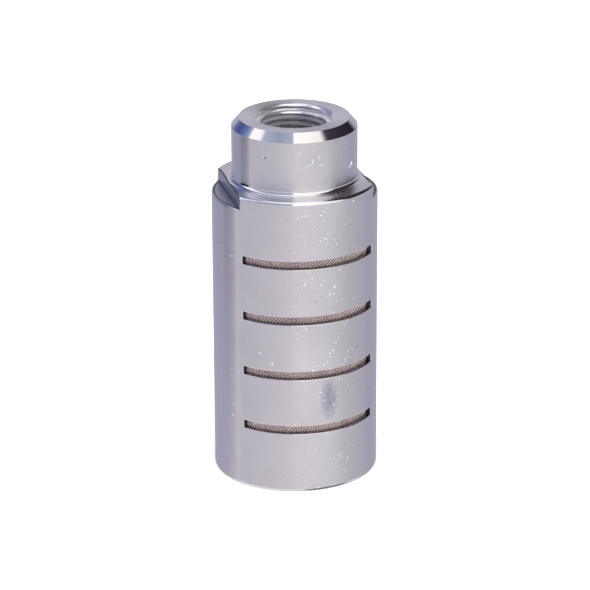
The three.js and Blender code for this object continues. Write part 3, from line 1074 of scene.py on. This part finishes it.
def cloth_metal(name, base, dark, pitch):
    """Woven wire cloth, its pitch in millimetres, wrapped round the axis."""
    nodes = Nodes(name)
    angle, radius, z = nodes.around_axis()
    across = nodes.times(nodes.times(angle, radius), math.pi / pitch)
    up = nodes.times(z, math.pi / pitch)
    first = nodes.times(nodes.math("SINE", across), nodes.math("COSINE", up))
    over = nodes.ramp(first, -1.0, 1.0)
    tarnish = nodes.noise(nodes.point(), 0.3, 3.0, 0.6)
    tone = nodes.tint(dark, base, over, 0.35, 0.7)
    tone = nodes.tint(tone, dark, tarnish, 0.35, 0.7, 0.5)
    return nodes.shade(Base_Color=tone, Metallic=1.0,
                       Roughness=nodes.ramp(tarnish, 0.2, 0.8, 0.35, 0.5),
                       Normal=nodes.bump(over, 0.8, 0.08 * MM))


def knitted_metal(name, base, dark, loop_width, loop_height):
    """Knitted wire pressed into a ring: wavy strands in rows of loops, sizes in millimetres."""
    nodes = Nodes(name)
    point = nodes.point()
    angle, radius, z = nodes.around_axis()
    tangle = nodes.times(nodes.noise(point, 0.8, 3.0, 0.6), 2.4)
    along = nodes.times(angle, PACKING_MIDDLE / loop_width)
    rows = nodes.times(nodes.plus(nodes.plus(z, radius), tangle), TURN / loop_height)
    weave = nodes.plus(along, nodes.times(nodes.math("SINE", rows), 0.3))
    strand = nodes.math("ABSOLUTE", nodes.math("SINE", nodes.times(weave, math.pi)))
    cross = nodes.math("ABSOLUTE", nodes.math("COSINE", nodes.times(rows, 0.5)))
    wire = nodes.math("MAXIMUM", strand, cross)
    tarnish = nodes.noise(point, 0.25, 3.0, 0.6)
    tone = nodes.tint(dark, base, wire, 0.55, 0.9)
    tone = nodes.tint(tone, dark, tarnish, 0.4, 0.7, 0.5)
    return nodes.shade(Base_Color=tone, Metallic=1.0,
                       Roughness=nodes.ramp(tarnish, 0.2, 0.8, 0.32, 0.48),
                       Normal=nodes.bump(wire, 1.0, 0.15 * MM))


def rolled_steel(name, base, dark, roughness):
    """Rolled sheet: straight grain, faint scratches and heat or oil tint."""
    nodes = Nodes(name)
    grain = nodes.noise(nodes.point((0.08, 1, 1)), 5.0, 3.0, 0.7)
    tint = nodes.noise(nodes.point(), 0.18, 3.0, 0.6)
    scratch = nodes.noise(nodes.point((1, 0.05, 0.3)), 3.0, 2.0, 0.5)
    tone = nodes.tint(dark, base, tint, 0.3, 0.7)
    tone = nodes.tint(tone, (0.85, 0.85, 0.87, 1), scratch, 0.62, 0.72, 0.4)
    return nodes.shade(Base_Color=tone, Metallic=1.0,
                       Roughness=nodes.ramp(grain, 0.2, 0.8, roughness, roughness + 0.14),
                       Anisotropic=0.4, Normal=nodes.bump(grain, 0.15))


def gasket_fibre():
    """Compressed fibre sheet: green-grey, matt, with pale fibres and a pressed grain."""
    nodes = Nodes("gasket_fibre")
    fibres = nodes.noise(nodes.point((0.3, 1, 1)), 4.0, 4.0, 0.7)
    blotch = nodes.noise(nodes.point(), 0.7, 3.0, 0.6)
    tone = nodes.tint((0.075, 0.105, 0.088, 1), (0.13, 0.165, 0.142, 1), blotch, 0.3, 0.7)
    tone = nodes.tint(tone, (0.36, 0.38, 0.34, 1), fibres, 0.6, 0.75, 0.6)
    return nodes.shade(Base_Color=tone, Roughness=nodes.ramp(fibres, 0.2, 0.8, 0.7, 0.9),
                       Normal=nodes.bump(fibres, 0.5, 0.04 * MM))


# ---------------------------------------------------------------- studio

def aim_camera():
    data = bpy.data.cameras.new("camera")
    data.lens = CAMERA_LENS
    data.sensor_width = SENSOR_WIDTH
    data.clip_start = 0.01
    data.clip_end = 50
    camera = bpy.data.objects.new("camera", data)
    bpy.context.scene.collection.objects.link(camera)
    cosine = math.cos(CAMERA_ELEVATION)
    back = Vector((math.sin(CAMERA_AZIMUTH) * cosine, -math.cos(CAMERA_AZIMUTH) * cosine,
                   math.sin(CAMERA_ELEVATION)))
    level = Vector((math.cos(CAMERA_AZIMUTH), math.sin(CAMERA_AZIMUTH), 0))
    right = level * math.cos(CAMERA_ROLL) + back.cross(level) * math.sin(CAMERA_ROLL)
    up = back.cross(right)
    turn = Matrix((right, up, back)).transposed().to_4x4()
    turn.translation = back * CAMERA_DISTANCE + Vector((0, 0, CAMERA_TARGET_Z))
    camera.matrix_world = turn
    bpy.context.scene.camera = camera


def make_floor():
    mesh = bpy.data.meshes.new("studio_floor")
    half = FLOOR_HALF_WIDTH
    corners = [(-half, -half, 0), (half, -half, 0), (half, half, 0), (-half, half, 0)]
    mesh.from_pydata(corners, [], [(0, 1, 2, 3)])
    floor = object_from("studio_floor", mesh)
    floor.location.z = -FLOOR_DROP
    nodes = Nodes("studio_floor")
    tone = nodes.mix(nodes.noise(nodes.point(), 0.05, 2.0), (0.93, 0.93, 0.93, 1), (0.95, 0.95, 0.95, 1))
    mesh.materials.append(nodes.shade(Base_Color=tone, Roughness=0.9, Specular_IOR_Level=0.0))
    floor.visible_glossy = False


# The studio round the part, by direction from the camera's side in degrees: 0 is towards the
# camera and positive is to its right. LOW is what upright walls reflect, HIGH what chamfers do.
LOW_LIGHT = [
    (-180, (0.45, 0.45, 0.56)),
    (-150, (0.48, 0.48, 0.62)),
    (-118, (0.51, 0.51, 0.63)),
    (-103, (0.50, 0.50, 0.58)),
    (-96, (0.51, 0.50, 0.565)),
    (-60, (0.555, 0.535, 0.585)),
    (-20, (0.635, 0.61, 0.65)),
    (10, (0.695, 0.67, 0.705)),
    (48, (0.61, 0.60, 0.655)),
    (70, (0.57, 0.56, 0.61)),
    (90, (0.53, 0.515, 0.57)),
    (130, (0.42, 0.415, 0.50)),
    (150, (0.45, 0.45, 0.57)),
    (180, (0.45, 0.45, 0.56)),
]
HIGH_LIGHT = [
    (-180, (0.60, 0.58, 0.64)),
    (-157, (0.48, 0.48, 0.56)),
    (-148, (0.13, 0.16, 0.33)),
    (-128, (0.07, 0.10, 0.29)),
    (-115, (0.16, 0.22, 0.45)),
    (-107, (0.30, 0.38, 0.62)),
    (-102, (1.25, 1.20, 1.22)),
    (-84, (1.15, 1.10, 1.10)),
    (-77, (0.42, 0.48, 0.66)),
    (-45, (0.36, 0.39, 0.51)),
    (-20, (0.42, 0.45, 0.57)),
    (-5, (0.42, 0.46, 0.57)),
    (-1, (1.25, 1.23, 1.18)),
    (68, (1.1, 1.06, 1.0)),
    (79, (0.05, 0.04, 0.06)),
    (137, (0.02, 0.015, 0.02)),
    (146, (0.26, 0.24, 0.27)),
    (180, (0.60, 0.58, 0.64)),
]


# Patches in the studio, each as the azimuths that it starts and ends over, the rises that it fades
# in over, its strength and its colour. A rise is the height of a direction of length 1.
STAND_START = (-120, -109)
STAND_END = (-89, -93)
STAND_RISE = (-0.37, -0.30)
STAND_COLOUR = (0.0, 0.0, 0.03, 1)
STAND_SHADE_START = (-165, -130)
STAND_SHADE = 0.38
STAND_FOOT = ((-126, -112), (-86, -93), (-0.385, -0.43), 1.0, (0.86, 0.84, 0.92, 1))
WINDOW = ((-35, 5), (70, 30), (-0.36, -0.30), 0.22, (1.0, 0.96, 0.98, 1))
GAP = ((80, 100), (176, 166), (-0.66, -0.74), 1.0, (0.06, 0.05, 0.06, 1))
CORNER = ((105, 130), (200, 190), (0.45, 0.70), 1.0, (0.05, 0.04, 0.045, 1))
SHEET_RISE = (-0.48, -0.64)
SHEET_COLOUR = (0.95, 0.91, 0.93, 1)
HIGH_RISE = (0.06, 0.26)
CEILING_RISE = (0.905, 0.945)
CEILING_COLOUR = (1.2, 1.18, 1.18, 1)


class Surroundings(Tree):
    """The world, whose colour depends on direction only."""

    def __init__(self):
        world = bpy.data.worlds.new("studio")
        bpy.context.scene.world = world
        world.use_nodes = True
        super().__init__(world.node_tree)
        direction = self.add("ShaderNodeTexCoord").outputs["Generated"]
        links = {"Angle": -CAMERA_AZIMUTH, "Vector": direction}
        spin = self.add("ShaderNodeVectorRotate", links, rotation_type="Z_AXIS")
        side, depth, self.rise = self.split(spin.outputs["Vector"])
        self.azimuth = self.math("ARCTAN2", side, self.times(depth, -1.0))
        self.degrees = self.times(self.azimuth, 360 / TURN)

    def step(self, value, low, high):
        links = {"Value": value, "From Min": low, "From Max": high}
        return self.add("ShaderNodeMapRange", links, interpolation_type="SMOOTHSTEP").outputs["Result"]

    def around(self, stops):
        """Colours blended by azimuth."""
        ramp = self.add("ShaderNodeValToRGB", {"Fac": self.math("MULTIPLY_ADD", self.azimuth, 1 / TURN, 0.5)})
        elements = ramp.color_ramp.elements
        while len(elements) < len(stops):
            elements.new(0.5)
        for element, (degrees, colour) in zip(elements, stops):
            element.position = degrees / 360 + 0.5
            element.color = (*colour, 1)
        return ramp.outputs["Color"]

    def patch(self, light, start, end, rise, strength, colour):
        shape = self.times(self.step(self.degrees, *start), self.step(self.degrees, *end))
        shape = self.times(self.times(shape, strength), self.step(self.rise, *rise))
        return self.mix(shape, light, colour)

    def stand(self, light):
        """A dark stand behind and left of the part, with a weaker shade on its far side."""
        shade = self.times(self.step(self.degrees, *STAND_SHADE_START), STAND_SHADE)
        shape = self.math("MAXIMUM", shade, self.step(self.degrees, *STAND_START))
        shape = self.times(shape, self.step(self.degrees, *STAND_END))
        shape = self.times(shape, self.step(self.rise, *STAND_RISE))
        return self.mix(shape, light, STAND_COLOUR)


def light_surroundings():
    """Soft studio light on all sides, with the bright panels and dark gaps that metal reflects."""
    sky = Surroundings()
    low = sky.stand(sky.around(LOW_LIGHT))
    low = sky.patch(low, *STAND_FOOT)
    low = sky.patch(low, *WINDOW)
    low = sky.mix(sky.step(sky.rise, *SHEET_RISE), low, SHEET_COLOUR)
    low = sky.patch(low, *GAP)
    high = sky.patch(sky.around(HIGH_LIGHT), *CORNER)
    light = sky.mix(sky.step(sky.rise, *HIGH_RISE), low, high)
    light = sky.mix(sky.step(sky.rise, *CEILING_RISE), light, CEILING_COLOUR)
    sky.put(sky.tree.nodes["Background"].inputs["Color"], light)


def add_softbox():
    """The wide soft light overhead, which only lights and is never seen."""
    data = bpy.data.lights.new("overhead_softbox", "AREA")
    data.shape = "SQUARE"
    data.size = SOFTBOX_WIDTH
    data.energy = SOFTBOX_POWER
    lamp = bpy.data.objects.new("overhead_softbox", data)
    lamp.location = SOFTBOX_PLACE
    lamp.rotation_mode = "QUATERNION"
    lamp.rotation_quaternion = (-Vector(SOFTBOX_PLACE)).to_track_quat("-Z", "Y")
    lamp.visible_camera = False
    lamp.visible_glossy = False
    bpy.context.scene.collection.objects.link(lamp)


# ---------------------------------------------------------------- put together

def fit(name, mesh, slot, materials, *nodes):
    """Adds a piece with its materials and body, and hides the CAD nodes that it stands for. Its finish slot
    is not used.
    """
    piece = object_from(name, mesh)
    for material in materials:
        piece.data.materials.append(material)
    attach(piece, BODY)
    if nodes:
        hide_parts(*nodes)


bpy.context.scene.view_settings.view_transform = "Standard"
aim_camera()
light_surroundings()
make_floor()
add_softbox()

polished = polished_aluminium()
machined_shade = shaded_machined_aluminium()
housing_looks = [turned_aluminium(), polished, milled_aluminium(), machined_shade]
housing_looks += [threaded_aluminium(), shaded_slot_floor_aluminium()]
plug_looks = [faced_aluminium(), polished, machined_shade]
# The warp and weft are the same wire: the warp is painted light and the weft painted dark as shade, for the
# bright and shaded crossings of the weave.
warp_wire_lit = wire_metal("warp_wire_lit", (1.0, 0.90, 0.84, 1), (0.95, 0.80, 0.76, 1), 0.3, 0.15)
weft_wire_shaded = wire_metal("weft_wire_shaded", (0.56, 0.42, 0.43, 1), (0.28, 0.20, 0.22, 1), 0.35, 0.4)
# The outer sleeve behind the weave is painted nearly black: painted shade seen through the weave's openings.
outer_cloth_shade = cloth_metal("outer_cloth_shade", (0.12, 0.09, 0.08, 1), (0.02, 0.015, 0.02, 1), 0.38)
core_cloth = cloth_metal("core_cloth", (0.55, 0.52, 0.48, 1), (0.12, 0.11, 0.10, 1), 0.5)
knitted_wire = knitted_metal("knitted_wire", (0.72, 0.69, 0.65, 1), (0.07, 0.065, 0.06, 1), 0.9, 1.1)
sheet_steel = rolled_steel("sheet_steel", (0.66, 0.67, 0.69, 1), (0.50, 0.505, 0.52, 1), 0.26)
spring_steel = rolled_steel("spring_steel", (0.40, 0.41, 0.46, 1), (0.24, 0.24, 0.27, 1), 0.22)

fit("housing_body", housing_mesh(), "housing_aluminium", housing_looks, "housing")
fit("outer_screen_weave", weave_mesh(), "screen_wire", [warp_wire_lit, weft_wire_shaded])
outer_sleeve = sleeve_mesh("outer_screen_sleeve", "outer_screen", OUTER_SLEEVE_DEPTH)
fit("outer_screen_sleeve", outer_sleeve, "screen_wire", [outer_cloth_shade], "outer_screen")
fit("end_plug_turned", end_plug_mesh(), "plug_aluminium", plug_looks, "end_plug")
fit("wave_spring_ring", wave_spring_mesh(), "spring_steel", [spring_steel], "wave_spring")
fit("diffuser_end_cap_cup", end_cap_mesh(), "sheet_steel", [sheet_steel], "diffuser_end_cap")
fit("diffuser_tube_perforated", diffuser_tube_mesh(), "sheet_steel", [sheet_steel], "diffuser_tube")
core_sleeve = sleeve_mesh("core_screen_sleeve", "core_screen", CORE_SLEEVE_DEPTH)
fit("core_screen_sleeve", core_sleeve, "screen_wire", [core_cloth], "core_screen")
plate = flat_ring_mesh("pressure_plate_disc", "pressure_plate", 0, 0.2 * MM)
fit("pressure_plate_disc", plate, "sheet_steel", [sheet_steel], "pressure_plate")
gasket = flat_ring_mesh("flange_gasket_ring", "flange_gasket", GASKET_BORE, 0.15 * MM)
fit("flange_gasket_ring", gasket, "gasket_fibre", [gasket_fibre()], "flange_gasket")

for number in range(1, PACKING_RINGS + 1):
    node = f"packing_ring_{number}"
    piece = f"{node}_knit"
    fit(piece, packing_ring_mesh(piece, *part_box(node)), "knitted_wire", [knitted_wire], node)

for number in range(1, BAFFLE_WASHERS + 1):
    node = f"baffle_washer_{number}"
    piece = f"{node}_disc"
    fit(piece, flat_ring_mesh(piece, node, STACK_BORE, 0.12 * MM), "sheet_steel", [sheet_steel], node)
